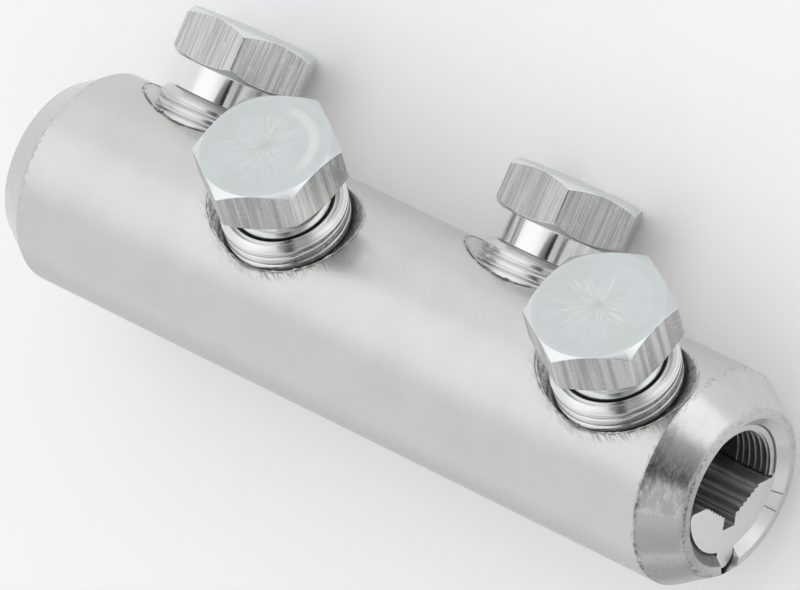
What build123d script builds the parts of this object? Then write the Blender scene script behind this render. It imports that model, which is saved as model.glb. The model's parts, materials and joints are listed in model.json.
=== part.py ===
from build123d import *
import os
from math import acos, atan2, cos, degrees, hypot, radians, sin, tan

# Shear-bolt connector that joins two power conductors end to end. A turned aluminium
# sleeve has a blind bore in each end. A key-guided insert with a stepped V lies in each
# bore, and four bolts with shear-off hexagon heads press the conductors into the V.
#
# Lengths are in millimetres and angles in degrees. Every piece is first modelled on a
# bench frame: X runs along the sleeve, Z points midway between the two rows of bolts,
# and the origin is the middle of the sleeve's axis. The whole connector is then rolled
# about X until it lies as it comes to rest on a table, on the sleeve and on the two
# heads of the low row, with the origin below the middle of its box, on the table.

# Sleeve
SLEEVE_LENGTH = 108.8
SLEEVE_DIAMETER = 28.0
END_CHAMFER_LENGTH = 5.0
END_CHAMFER_DROP = 3.15
END_LIP_BEVEL = 0.55
BORE_DIAMETER = 16.4
MOUTH_FLARE = 1.4
CENTRE_WALL = 6.0

# Raised ceiling of the bore, on the side of the bolts
CEILING_THICKNESS = 0.7
CEILING_HALF_ANGLE = 83.0

# Keyway of the bore, opposite the bolts
KEYWAY_WIDTH = 3.4
KEYWAY_DEPTH = 2.9

# Places of the bolts
ROW_ANGLE = 55.6
OUTER_BOLT_FROM_END = 17.35
BOLT_PITCH = 21.9
PATTERN_SHIFT = -1.4

# Bolts
THREAD_DIAMETER = 16.0
SHANK_LENGTH = 7.6
SHANK_CHAMFER = 0.75
TIP_CHAMFER = 1.4
TIP_SETBACK = 0.1
NECK_DIAMETER = 12.7
NECK_LENGTH = 3.85
HEAD_HEIGHT = 6.2
HEAD_ACROSS_FLATS = 16.5
HEAD_TOP_DIAMETER = 16.4
HEAD_BASE_DIAMETER = 15.7
HEAD_CHAMFER_ANGLE = 30.0

# Tapped holes
THREAD_CLEARANCE = 0.05
COUNTERSINK_DIAMETER = 21.3
HOLE_FLOOR = 1.5

# Inserts
INSERT_CLEARANCE = 0.1
INSERT_SETBACK = 0.95
INSERT_END_PLAY = 0.45
LAND_DROP = 0.95
LAND_ROUNDING = 0.5
VEE_WIDTH = 10.0
VEE_DROP = 3.5
VEE_STEPS = 4
RELIEF_WIDTH = 2.4
RELIEF_DROP = 5.25
KEY_SIDE_CLEARANCE = 0.2
KEY_BOTTOM_CLEARANCE = 0.6

# How far each head is turned about its bolt, a corner towards +X being zero
HEAD_TURNS = {
    "low_bolt_1": -4.0,
    "high_bolt_1": 30.3,
    "low_bolt_2": -2.0,
    "high_bolt_2": 27.7,
}

# Sizes that follow from the ones above
HALF_LENGTH = SLEEVE_LENGTH / 2
SLEEVE_RADIUS = SLEEVE_DIAMETER / 2
BORE_RADIUS = BORE_DIAMETER / 2
CEILING_RADIUS = BORE_RADIUS - CEILING_THICKNESS
KEYWAY_FLOOR = BORE_RADIUS + KEYWAY_DEPTH
HEAD_CORNER_RADIUS = HEAD_ACROSS_FLATS / 2 / cos(radians(30))
HEAD_SLOPE = tan(radians(HEAD_CHAMFER_ANGLE))

# Heights along a bolt, from the sleeve's axis
TIP_HEIGHT = CEILING_RADIUS + TIP_SETBACK
SHANK_TOP = TIP_HEIGHT + SHANK_LENGTH
HEAD_BASE = SHANK_TOP + NECK_LENGTH
HEAD_TOP = HEAD_BASE + HEAD_HEIGHT
HEAD_CORNER_TOP = HEAD_TOP - (HEAD_CORNER_RADIUS - HEAD_TOP_DIAMETER / 2) * HEAD_SLOPE

# Places of the outer and inner bolts along the sleeve, before the pattern's shift
OUTER_BOLT = HALF_LENGTH - OUTER_BOLT_FROM_END
INNER_BOLT = OUTER_BOLT - BOLT_PITCH

# Each bolt's place along the sleeve, and its row: +1 is the low row, -1 the high row
BOLTS = {
    "low_bolt_1": (PATTERN_SHIFT - INNER_BOLT, 1),
    "high_bolt_1": (PATTERN_SHIFT - OUTER_BOLT, -1),
    "low_bolt_2": (PATTERN_SHIFT + OUTER_BOLT, 1),
    "high_bolt_2": (PATTERN_SHIFT + INNER_BOLT, -1),
}

EXTRA = 1.0  # how far a cutting tool runs past the face that it opens


def turned(points, axis, plane=Plane.XY):
    """Solid of revolution from an outline of (along, radius) or (radius, height) points."""
    return revolve(plane * make_face(Polyline(*points, close=True)), axis)


def sleeve_blank():
    """The turned bar: long end chamfers with a bevelled lip, no bores yet."""
    rim = SLEEVE_RADIUS - END_CHAMFER_DROP
    flank_end = HALF_LENGTH - END_CHAMFER_LENGTH
    outline = make_face(
        Polyline(
            (-HALF_LENGTH, 0),
            (-HALF_LENGTH, rim),
            (-flank_end, SLEEVE_RADIUS),
            (flank_end, SLEEVE_RADIUS),
            (HALF_LENGTH, rim),
            (HALF_LENGTH, 0),
            close=True,
        )
    )
    lips = [v for v in outline.vertices() if abs(v.Y - rim) < 1e-6]
    return revolve(chamfer(lips, END_LIP_BEVEL), Axis.X)


def bore_tool():
    """The blind bore of the +X end, with its flared mouth."""
    mouth = HALF_LENGTH + EXTRA
    return turned(
        [
            (CENTRE_WALL / 2, 0),
            (CENTRE_WALL / 2, BORE_RADIUS),
            (HALF_LENGTH - MOUTH_FLARE, BORE_RADIUS),
            (mouth, BORE_RADIUS + MOUTH_FLARE + EXTRA),
            (mouth, 0),
        ],
        Axis.X,
    )


def round_bottomed_slot(width, bottom, top):
    """A U outline that hangs below the axis from top down to bottom."""
    centre = bottom - width / 2
    straight = Pos(0, -(centre + top) / 2) * Rectangle(width, centre - top)
    return straight + Pos(0, -centre) * Circle(width / 2)


def keyway_tool():
    """The U-shaped keyway of the +X end, open at the mouth."""
    outline = round_bottomed_slot(KEYWAY_WIDTH, KEYWAY_FLOOR, BORE_RADIUS / 2)
    length = HALF_LENGTH + EXTRA - CENTRE_WALL / 2
    return Pos(CENTRE_WALL / 2, 0, 0) * extrude(Plane.YZ * outline, length)


def ceiling():
    """The raised part of the bore's wall at the +X end, which faces the insert."""
    side = radians(CEILING_HALF_ANGLE)
    reach = 2 * SLEEVE_RADIUS
    across, up = reach * sin(side), reach * cos(side)
    wedge = make_face(
        Polyline((0, 0), (across, up), (across, reach), (-across, reach), (-across, up), close=True)
    )
    ring = Circle(BORE_RADIUS + EXTRA / 2) - Circle(CEILING_RADIUS)
    start = (CENTRE_WALL - EXTRA) / 2
    length = HALF_LENGTH - MOUTH_FLARE - start
    return Pos(start, 0, 0) * extrude(Plane.YZ * (ring & wedge), length)


def bolt_hole_tool():
    """A tapped hole at its thread's crest, with its 90 degree countersink, about Z."""
    radius = THREAD_DIAMETER / 2 + THREAD_CLEARANCE
    top = SLEEVE_RADIUS + 2 * EXTRA
    top_radius = COUNTERSINK_DIAMETER / 2 + 2 * EXTRA
    return turned(
        [
            (0, HOLE_FLOOR),
            (radius, HOLE_FLOOR),
            (radius, top - (top_radius - radius)),
            (top_radius, top),
            (0, top),
        ],
        Axis.Z,
        Plane.XZ,
    )


def on_bolt(name, shape):
    """Place a shape that is modelled about Z on the axis of the named bolt."""
    along, row = BOLTS[name]
    return Pos(along, 0, 0) * Rot(row * ROW_ANGLE / 2, 0, 0) * shape


def sleeve():
    """The sleeve with both bores, keyways, ceilings and the four tapped holes."""
    body = sleeve_blank()
    cavity = bore_tool() + keyway_tool()
    body -= cavity
    body -= mirror(cavity, Plane.YZ)
    body += ceiling()
    body += mirror(ceiling(), Plane.YZ)
    for name in BOLTS:
        body -= on_bolt(name, bolt_hole_tool())
    return body


def vee_flank():
    """Points of the stepped flank of the V on its +Y side, from the land downwards."""
    top, foot = VEE_WIDTH / 2, RELIEF_WIDTH / 2
    points = []
    for step in range(VEE_STEPS):
        across = top + (foot - top) * step / VEE_STEPS
        low = -LAND_DROP - (VEE_DROP - LAND_DROP) * (step + 1) / VEE_STEPS
        next_across = top + (foot - top) * (step + 1) / VEE_STEPS
        points += [(across, low), (next_across, low)]
    return points


def vee_outline():
    """Everything above the insert's lands, the stepped V and the square relief below it."""
    right = [(BORE_RADIUS + EXTRA, BORE_RADIUS), (BORE_RADIUS + EXTRA, -LAND_DROP)]
    right += [(VEE_WIDTH / 2, -LAND_DROP)] + vee_flank() + [(RELIEF_WIDTH / 2, -RELIEF_DROP)]
    left = [(-across, up) for across, up in reversed(right)]
    return make_face(Polyline(*right, *left, close=True))


def insert():
    """The V-shaped insert of the +X end with its key, an extruded profile."""
    radius = BORE_RADIUS - INSERT_CLEARANCE
    key = round_bottomed_slot(
        KEYWAY_WIDTH - 2 * KEY_SIDE_CLEARANCE, KEYWAY_FLOOR - KEY_BOTTOM_CLEARANCE, RELIEF_DROP + EXTRA
    )
    profile = Circle(radius) + key - vee_outline()
    edge = (radius**2 - LAND_DROP**2) ** 0.5
    tips = [v for v in profile.vertices() if abs(abs(v.X) - edge) < 1e-3 and v.Y > -LAND_DROP - 1e-3]
    profile = fillet(tips, LAND_ROUNDING)
    start = CENTRE_WALL / 2 + INSERT_END_PLAY
    length = HALF_LENGTH - INSERT_SETBACK - start
    return Pos(start, 0, 0) * extrude(Plane.YZ * profile, length)


def bolt_shaft():
    """Threaded shank at its crest diameter and the plain neck, about Z."""
    shank, neck = THREAD_DIAMETER / 2, NECK_DIAMETER / 2
    return turned(
        [
            (0, TIP_HEIGHT),
            (shank - TIP_CHAMFER, TIP_HEIGHT),
            (shank, TIP_HEIGHT + TIP_CHAMFER),
            (shank, SHANK_TOP - SHANK_CHAMFER),
            (shank - SHANK_CHAMFER, SHANK_TOP),
            (neck, SHANK_TOP),
            (neck, HEAD_BASE + EXTRA),
            (0, HEAD_BASE + EXTRA),
        ],
        Axis.Z,
        Plane.XZ,
    )


def bolt_head(turn):
    """Hexagon head, chamfered at both ends, with a corner turned from +X by turn."""
    top, base = HEAD_TOP_DIAMETER / 2, HEAD_BASE_DIAMETER / 2
    outer = HEAD_CORNER_RADIUS + EXTRA
    envelope = turned(
        [
            (0, HEAD_BASE),
            (base, HEAD_BASE),
            (outer, HEAD_BASE + (outer - base) * HEAD_SLOPE),
            (outer, HEAD_TOP - (outer - top) * HEAD_SLOPE),
            (top, HEAD_TOP),
            (0, HEAD_TOP),
        ],
        Axis.Z,
        Plane.XZ,
    )
    hexagon = Rot(0, 0, turn) * RegularPolygon(HEAD_CORNER_RADIUS, 6)
    return Pos(0, 0, HEAD_BASE) * extrude(hexagon, HEAD_HEIGHT) & envelope


def head_edges(name):
    """(reach, height) of the head's edge points that can touch the table, off the bolt's axis."""
    points = [(HEAD_TOP_DIAMETER / 2, HEAD_TOP)]
    for corner in range(6):
        bearing = radians(HEAD_TURNS[name] + 60 * corner)
        points.append((abs(HEAD_CORNER_RADIUS * sin(bearing)), HEAD_CORNER_TOP))
    return points


def rest_tilt():
    """Angle between straight down and a bolt of the low row, where the head meets the table."""
    low = [edge for name, (_, row) in BOLTS.items() if row > 0 for edge in head_edges(name)]
    return max(
        degrees(atan2(reach, height) + acos(SLEEVE_RADIUS / hypot(reach, height))) for reach, height in low
    )


def rest_place():
    """Where the bench frame goes: rolled to rest, on the table, centred over the origin."""
    tilt = rest_tilt()
    low = [edge for name, (_, row) in BOLTS.items() if row > 0 for edge in head_edges(name)]
    front = max(height * sin(radians(tilt)) + reach * cos(radians(tilt)) for reach, height in low)
    roll = 180 - tilt - ROW_ANGLE / 2
    return Pos(0, (front - SLEEVE_RADIUS) / 2, SLEEVE_RADIUS) * Rot(roll, 0, 0)


def nodes():
    """Every separate piece by name, in the bench frame."""
    pieces = {
        "sleeve": sleeve(),
        "insert_1": mirror(insert(), Plane.YZ),
        "insert_2": insert(),
    }
    for name, turn in HEAD_TURNS.items():
        pieces[name] = on_bolt(name, bolt_shaft() + bolt_head(turn))
    return pieces


os.makedirs("parts", exist_ok=True)
place = rest_place()
for node, piece in nodes().items():
    export_step(place * piece, f"parts/{node}.step")
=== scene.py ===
"""Looks of a shear-bolt conductor connector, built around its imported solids.

A turned and tinned sleeve lies on a pale floor. Four bolts with shear-off hexagon heads
stand in its tapped holes, and a stepped V insert lies in each of its bores. Sizes in the
classes are millimetres. Angles are degrees in the shapes and radians in the finishes.
Places and everything else are in metres.
"""

import json
import logging
import math
from dataclasses import dataclass
from enum import Enum
from typing import Any, Callable, Sequence

import bpy
from mathutils import Matrix, Vector, noise


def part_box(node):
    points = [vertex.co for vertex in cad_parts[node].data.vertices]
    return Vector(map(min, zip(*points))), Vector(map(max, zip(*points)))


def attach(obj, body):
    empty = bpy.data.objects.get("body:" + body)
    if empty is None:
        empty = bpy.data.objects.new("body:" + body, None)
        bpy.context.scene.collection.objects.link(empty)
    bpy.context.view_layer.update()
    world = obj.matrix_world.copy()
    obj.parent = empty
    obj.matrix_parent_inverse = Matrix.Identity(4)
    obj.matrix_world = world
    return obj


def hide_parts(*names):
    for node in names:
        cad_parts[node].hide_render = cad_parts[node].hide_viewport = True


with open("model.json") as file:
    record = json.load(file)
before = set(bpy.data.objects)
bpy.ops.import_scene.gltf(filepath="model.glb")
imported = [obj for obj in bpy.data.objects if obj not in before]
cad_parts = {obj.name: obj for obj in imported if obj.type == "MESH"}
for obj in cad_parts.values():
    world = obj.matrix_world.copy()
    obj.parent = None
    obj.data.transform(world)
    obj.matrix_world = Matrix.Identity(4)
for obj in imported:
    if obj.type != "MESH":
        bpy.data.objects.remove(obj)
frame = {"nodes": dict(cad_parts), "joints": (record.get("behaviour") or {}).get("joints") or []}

Triple = tuple[float, float, float]
Pair = tuple[float, float]
Tone = Triple

MM = 0.001
ALONG = Vector((1, 0, 0))
HEAD_TURNS = {"low_bolt_1": -4.0, "high_bolt_1": 30.3, "low_bolt_2": -2.0, "high_bolt_2": 27.7}
LOG = logging.getLogger("connector")


class Slot(Enum):
    """The record's material slots."""

    SLEEVE = "tinned_sleeve"
    INSERT = "plain_insert"
    BOLT = "plated_bolt"


class End(Enum):
    """The two ends of the sleeve, by the sign of x."""

    SHOWN = -1
    HIDDEN = 1

    @property
    def number(self) -> int:
        """The end's number in the names of pieces."""
        return 1 if self is End.SHOWN else 2


class Amount:
    """A node's output, with plain arithmetic that adds further nodes."""

    def __init__(self, wires: "Wiring", socket: bpy.types.NodeSocket) -> None:
        """Hold an output of a node in the tree of wires."""
        self.wires, self.socket = wires, socket

    def __add__(self, other: "Value") -> "Amount":
        """Return the sum."""
        return self.wires.math("ADD", self, other)

    def __radd__(self, other: float) -> "Amount":
        """Return the sum of a number and this value."""
        return self.wires.math("ADD", other, self)

    def __sub__(self, other: "Value") -> "Amount":
        """Return the difference."""
        return self.wires.math("SUBTRACT", self, other)

    def __rsub__(self, other: float) -> "Amount":
        """Return a number less this value."""
        return self.wires.math("SUBTRACT", other, self)

    def __mul__(self, other: "Value") -> "Amount":
        """Return the product."""
        return self.wires.math("MULTIPLY", self, other)

    def __truediv__(self, other: "Value") -> "Amount":
        """Return the quotient."""
        return self.wires.math("DIVIDE", self, other)

    def __mod__(self, other: float) -> "Amount":
        """Return what is left after whole steps of other."""
        return self.wires.math("MODULO", self, other)

    def __or__(self, other: "Value") -> "Amount":
        """Return the greater of the two."""
        return self.wires.math("MAXIMUM", self, other)

    def __abs__(self) -> "Amount":
        """Return the value without its sign."""
        return self.wires.math("ABSOLUTE", self)

    def below(self, limit: float) -> "Amount":
        """Return 1 where the value is less than limit, and 0 elsewhere."""
        return self.wires.math("LESS_THAN", self, limit)

    def step(self, low: float, high: float, start: float = 0.0, end: float = 1.0) -> "Amount":
        """Ease from start to end while the value goes from low to high.

        Args:
            low: Where the change begins.
            high: Where it ends.
            start: The result below low.
            end: The result above high.

        Returns:
            The eased value.
        """
        inputs = {"Value": self, "From Min": low, "From Max": high, "To Min": start, "To Max": end}
        return self.wires.value("MapRange", inputs, "Result", interpolation_type="SMOOTHSTEP")

    def fade(self, low: float, high: float) -> "Amount":
        """Ease from 1 to 0 while the value goes from low to high."""
        return self.step(low, high, 1.0, 0.0)

    def band(self, centre: float, half: float, soft: float) -> "Amount":
        """Return 1 while the value is within half of centre, easing to 0 over soft."""
        return abs(self - centre).fade(half, half + soft)


Value = float | Amount


class Wiring:
    """Short ways to add and join nodes in one tree."""

    def __init__(self, tree: bpy.types.NodeTree) -> None:
        """Wire nodes into this tree."""
        self.tree = tree

    def feed(self, socket: bpy.types.NodeSocket, value: Any) -> None:
        """Link a value into a socket, or set it as a constant.

        Args:
            socket: The input to fill.
            value: An amount to link from, a number, or a tuple of numbers.
        """
        if isinstance(value, Amount):
            self.tree.links.new(value.socket, socket)
        elif isinstance(value, tuple) and len(value) == 3 and socket.type == "RGBA":
            socket.default_value = (*value, 1.0)
        else:
            socket.default_value = value

    def node(self, kind: str, inputs: dict[Any, Any] | None = None, **settings: Any) -> bpy.types.Node:
        """Add a node.

        Args:
            kind: The node's type name, without its ShaderNode prefix.
            inputs: Values for its inputs, by name or place.
            settings: Its other properties.

        Returns:
            The new node.
        """
        made = self.tree.nodes.new(kind if kind.startswith("Node") else "ShaderNode" + kind)
        for name, value in settings.items():
            setattr(made, name, value)
        for key, value in (inputs or {}).items():
            self.feed(made.inputs[key], value)
        return made

    def value(self, kind: str, inputs: dict[Any, Any] | None = None, output: int | str = 0,
              **settings: Any) -> Amount:
        """Add a node and return one of its outputs."""
        return Amount(self, self.node(kind, inputs, **settings).outputs[output])

    def math(self, operation: str, *values: Value) -> Amount:
        """Do arithmetic on one or two values and return the result."""
        return self.value("Math", dict(enumerate(values)), operation=operation)

    def vector(self, operation: str, *values: Any) -> Amount:
        """Do vector arithmetic. A length or a dot product gives a number, the rest a vector."""
        output = "Value" if operation in ("LENGTH", "DOT_PRODUCT") else "Vector"
        return self.value("VectorMath", dict(enumerate(values)), output, operation=operation)

    def join(self, x: Value, y: Value, z: Value) -> Amount:
        """Return a vector of three values."""
        return self.value("CombineXYZ", {0: x, 1: y, 2: z})

    def split(self, vector: Amount) -> list[Amount]:
        """Return the three values of a vector."""
        return [Amount(self, part) for part in self.node("SeparateXYZ", {0: vector}).outputs]

    def ring(self, angle: Amount, size: float, height: Amount) -> Amount:
        """Return a place on a circle of this size, where noise closes on itself."""
        return self.join(self.math("SINE", angle) * size, self.math("COSINE", angle) * size, height)

    def noise(self, vector: Amount, scale: Value, detail: float = 2.0, rough: float = 0.5) -> Amount:
        """Return smooth noise from 0 to 1 at this scale."""
        inputs = {"Vector": vector, "Scale": scale, "Detail": detail, "Roughness": rough}
        return self.value("TexNoise", inputs, "Fac")

    def blend(self, factor: Value, first: Any, second: Any) -> Amount:
        """Mix two colours.

        Args:
            factor: How much of the second there is, from 0 to 1.
            first: A colour.
            second: Another colour.

        Returns:
            The mixed colour.
        """
        made = self.node("Mix", {"Factor": factor}, data_type="RGBA")
        colours = [s for s in made.inputs if s.type == "RGBA"]
        self.feed(colours[0], first)
        self.feed(colours[1], second)
        return Amount(self, next(s for s in made.outputs if s.type == "RGBA"))

    def coats(self, colour: Any, *layers: tuple[Amount, Any]) -> Amount:
        """Lay colours over a first one.

        Args:
            colour: The first colour.
            layers: Masks with their colours, from the lowest to the topmost.

        Returns:
            What shows.
        """
        for mask, tone in layers:
            colour = self.blend(mask, colour, tone)
        return colour

    def group(self, tree: bpy.types.NodeTree, **inputs: Any) -> list[Amount]:
        """Place a node group.

        Args:
            tree: The group.
            inputs: Values for its inputs, underscores standing for spaces.

        Returns:
            Its outputs.
        """
        made = self.node("Group", node_tree=tree)
        for name, value in inputs.items():
            self.feed(made.inputs[name.replace("_", " ").capitalize()], value)
        return [Amount(self, part) for part in made.outputs]


@dataclass(frozen=True)
class HoleRows:
    """Where the four tapped holes are: the two rows take turns along the sleeve."""

    half_angle: float = math.radians(27.8)
    start: float = -53.6
    pitch: float = 52.2
    high_place: float = 15.15
    low_place: float = 37.05
    cone_rise: float = 3.35
    cone_slant: float = 1.35
    gap_radius: float = 8.15
    skin_radius: float = 13.95
    smudge_run: float = -11.6
    smudge_cross: float = 2.2

    def fold(self, wires: Wiring, radius: Amount, angle: Amount, along: Amount) -> tuple[Amount, ...]:
        """Find a point's place from the axis of the nearest hole's bolt.

        Args:
            wires: The group's wiring.
            radius: Distance from the sleeve's axis.
            angle: Angle round the sleeve's axis from midway between the rows.
            along: Distance along the sleeve.

        Returns:
            Whether it is in the high row, then the distances along, across and outwards.
        """
        spot = (along - self.start) % self.pitch
        high = spot.below(self.pitch / 2)
        swing = angle - (1.0 - high * 2.0) * self.half_angle
        run = spot - (high * (self.high_place - self.low_place) + self.low_place)
        cross = radius * wires.math("SINE", swing) * -1.0
        return high, run, cross, radius * wires.math("COSINE", swing)


class Effects:
    """Shader node groups that several finishes share, each built once."""

    def __init__(self) -> None:
        """Build every group."""
        origin = (0.0, 0.0, 0.0)
        self.polar = self._group("polar place", self._polar, {"Place": origin})
        self.turning = self._group(
            "turning rings", self._turning, {"Along": 0.0, "Angle": 0.0, "Lines per mm": 3.0})
        self.streaks = self._group(
            "drawn streaks", self._streaks, {"Place": origin, "Per mm": 2.0, "Length": 20.0})
        self.specks = self._group(
            "specks", self._specks, {"Place": origin, "Per mm": 2.0, "Density": 0.5})
        self.hole_wear = self._group(
            "hole marks and shade", self._hole_wear, {"Radius": 14.0, "Angle": 0.0, "Along": 0.0})

    @staticmethod
    def _group(name: str, build: Callable[..., dict[str, Amount]],
               inputs: dict[str, Any]) -> bpy.types.NodeTree:
        """Make a node group.

        Args:
            name: The group's name.
            build: Wires the group's nodes, given its wiring and its inputs in order, and returns
                its outputs by name.
            inputs: Each input's name, with a number or three numbers as its default.

        Returns:
            The group.
        """
        tree = bpy.data.node_groups.new(name, "ShaderNodeTree")
        for key, value in inputs.items():
            kind = "NodeSocketVector" if isinstance(value, tuple) else "NodeSocketFloat"
            tree.interface.new_socket(key, in_out="INPUT", socket_type=kind).default_value = value
        wires = Wiring(tree)
        given = wires.node("NodeGroupInput").outputs
        outputs = build(wires, *(Amount(wires, given[key]) for key in inputs))
        for key in outputs:
            tree.interface.new_socket(key, in_out="OUTPUT", socket_type="NodeSocketFloat")
        wires.node("NodeGroupOutput", outputs)
        return tree

    @staticmethod
    def _polar(wires: Wiring, place: Amount) -> dict[str, Amount]:
        """Find a point's place about the third axis.

        Args:
            wires: The group's wiring.
            place: The point.

        Returns:
            Its radius and angle, and its height along the axis.
        """
        x, y, z = wires.split(place)
        radius = wires.vector("LENGTH", wires.join(x, y, 0.0))
        return {"Radius": radius, "Angle": wires.math("ARCTAN2", y, x), "Height": z}

    @staticmethod
    def _turning(wires: Wiring, along: Amount, angle: Amount, rate: Amount) -> dict[str, Amount]:
        """Fine lathe rings that change slowly round the piece, as a height."""
        return {"Height": wires.noise(wires.ring(angle, 0.35, along * rate), 1.0, 3.0, 0.65)}

    @staticmethod
    def _streaks(wires: Wiring, place: Amount, rate: Amount, length: Amount) -> dict[str, Amount]:
        """Drawn streaks that run along the third axis.

        Args:
            wires: The group's wiring.
            place: The point.
            rate: How many streaks there are in a millimetre.
            length: How long they are, in millimetres.

        Returns:
            The streaks as a height and as a tone mask.
        """
        x, y, z = wires.split(place)
        drawn = wires.join(x * rate, y * rate, z / length)
        tone = wires.noise(drawn, 0.45, 3.0, 0.6).step(0.41, 0.59)
        return {"Height": wires.noise(drawn, 1.0, 4.0, 0.7), "Tone": tone}

    @staticmethod
    def _specks(wires: Wiring, place: Amount, rate: Amount, density: Amount) -> dict[str, Amount]:
        """Small pits and nicks, as a mask."""
        over = wires.noise(place, rate, 3.0, 0.65) - (0.9 - density * 0.5)
        return {"Mask": over.step(0.0, 0.06)}

    @staticmethod
    def _hole_wear(wires: Wiring, radius: Amount, angle: Amount, along: Amount) -> dict[str, Amount]:
        """Marks, painted shade and a painted reflection round the tapped holes, as masks.

        Args:
            wires: The group's wiring.
            radius: Distance from the sleeve's axis.
            angle: Angle round the sleeve's axis from midway between the rows.
            along: Distance along the sleeve.

        Returns:
            The outputs. Cone is the countersink, Gap the painted shade where the bolt meets its hole,
            Line the burr's dark edge, partly painted shadow, Hair the scratches beside it with a
            painted reflection of the bolt's head by each hole of the high row, Rays the streaks
            down the countersink, and High the high row.
        """
        rows = HoleRows()
        high, run, cross, out = rows.fold(wires, radius, angle, along)
        away = wires.vector("LENGTH", wires.join(run, cross, 0.0))
        above = away + rows.cone_rise - out
        beyond = above * (1 / rows.cone_slant)
        near = out.step(8.0, 9.0)
        outer = radius.step(rows.skin_radius - 0.09, rows.skin_radius) * near
        uneven = wires.noise(wires.join(run, cross, high * 9.0), 0.8, 3.0, 0.6)
        cone = abs(above).fade(0.06, 0.2) * near * (1.0 - outer)
        # Painted shade where each bolt meets its hole, with a ragged edge
        gap_shade = (away + uneven * -0.5).fade(rows.gap_radius - 0.2, rows.gap_radius + 0.2)

        # The burr's dark edge, partly painted shadow: thin all round, thicker on one side of each hole
        lower = (1.0 - high) * cross.step(0.5, 4.0) * 1.2
        beside = lower | high * cross.step(-3.0, 3.0, 0.5, 1.0)
        thick = beyond.fade(0.12, 0.42) * uneven.step(0.38, 0.56) * beside
        line = (beyond.fade(0.06, 0.17) * 0.6 | thick) * beyond.step(-0.02, 0.03) * outer

        # Slanting scratches beside the holes, and a painted reflection of the bolt's head beside each hole
        # of the high row, streaked like the scratches
        lean, drift = run * 0.45 + cross * 0.9, cross * 0.45 - run * 0.9
        strands = wires.noise(wires.join(lean * 4.6, drift * 0.5, high), 1.0, 3.0, 0.7)
        hair = (strands.step(0.46, 0.6) * (beyond + uneven * -1.4).fade(-0.9, 1.1) * cross.step(-2.0, 4.5)
                * run.step(-3.0, 7.0, 1.25, 0.4) * beyond.step(0.0, 0.1) * (high * 0.75 + 0.2))
        off = wires.vector("LENGTH", wires.join(run - rows.smudge_run, cross - rows.smudge_cross, 0.0))
        bolt_reflection = off.fade(1.3, 2.6) * high * strands.step(0.3, 0.6, 0.15, 0.42)

        slanted = wires.join(run * 5.0 / away, cross * 5.0 / away, away * 0.35)
        rays = wires.noise(slanted, 1.6, 3.0, 0.65).step(0.5, 0.62) * cone * (high * 0.7 + 0.15)
        return {"Cone": cone, "Gap": gap_shade * near, "Line": line, "Hair": (hair | bolt_reflection) * outer,
                "Rays": rays, "High": high}


def columns(place: Matrix) -> list[Vector]:
    """Return the directions of a place's three axes."""
    return [Vector(place.col[k][:3]) for k in range(3)]


def axes_at(origin: Vector, x: Vector, z: Vector) -> Matrix:
    """Return a place with this origin, in metres, and these x and z axes."""
    return Matrix.Translation(origin) @ Matrix((x, z.cross(x), z)).transposed().to_4x4()


def local_mm(wires: Wiring, place: Matrix) -> Amount:
    """Find where a point is in a piece's own axes.

    Args:
        wires: The material's wiring.
        place: Where the piece's own axes are, in metres.

    Returns:
        The coordinates along those axes, in millimetres.
    """
    point = wires.value("TexCoord", output="Object")
    away = wires.vector("SUBTRACT", point, tuple(place.translation))
    axes = [wires.vector("DOT_PRODUCT", away, tuple(axis)) for axis in columns(place)]
    return wires.join(*(part * (1 / MM) for part in axes))


def shader_of(material: bpy.types.Material) -> bpy.types.Node:
    """Give a new material its nodes and return its shader."""
    material.use_nodes = True
    return next(n for n in material.node_tree.nodes if n.type == "BSDF_PRINCIPLED")


class Metal:
    """A metal material that is being wired, with a piece's own axes to measure in."""

    def __init__(self, name: str, base: Tone, rough: float, axes: Matrix) -> None:
        """Start the material.

        Args:
            name: Its name.
            base: Its colour.
            rough: Its roughness.
            axes: Where the piece's own axes are, in metres.
        """
        self.material = bpy.data.materials.new(name)
        self.shader = shader_of(self.material)
        self.shader.inputs["Base Color"].default_value = (*base, 1.0)
        self.shader.inputs["Roughness"].default_value = rough
        self.shader.inputs["Metallic"].default_value = 1.0
        self.wires = Wiring(self.material.node_tree)
        self.axes = axes
        self.place = local_mm(self.wires, axes)

    def facing(self, axis: int) -> Amount:
        """Return how far the surface faces along one of the piece's own axes, from -1 to 1."""
        normal = self.wires.value("TexCoord", output="Normal")
        return self.wires.vector("DOT_PRODUCT", normal, tuple(columns(self.axes)[axis]))

    def finish(self, colour: Amount, rough: Amount, relief: Amount, depth: float) -> bpy.types.Material:
        """Feed the shader.

        Args:
            colour: The metal's colour.
            rough: Its roughness.
            relief: Its fine relief, a height of 0 to 1.
            depth: How deep the relief is, in millimetres.

        Returns:
            The material.
        """
        height = {"Height": relief, "Distance": depth * MM, "Strength": 1.0}
        normal = self.wires.value("Bump", height, "Normal")
        for name, value in (("Base Color", colour), ("Roughness", rough), ("Normal", normal)):
            self.wires.feed(self.shader.inputs[name], value)
        return self.material


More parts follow.
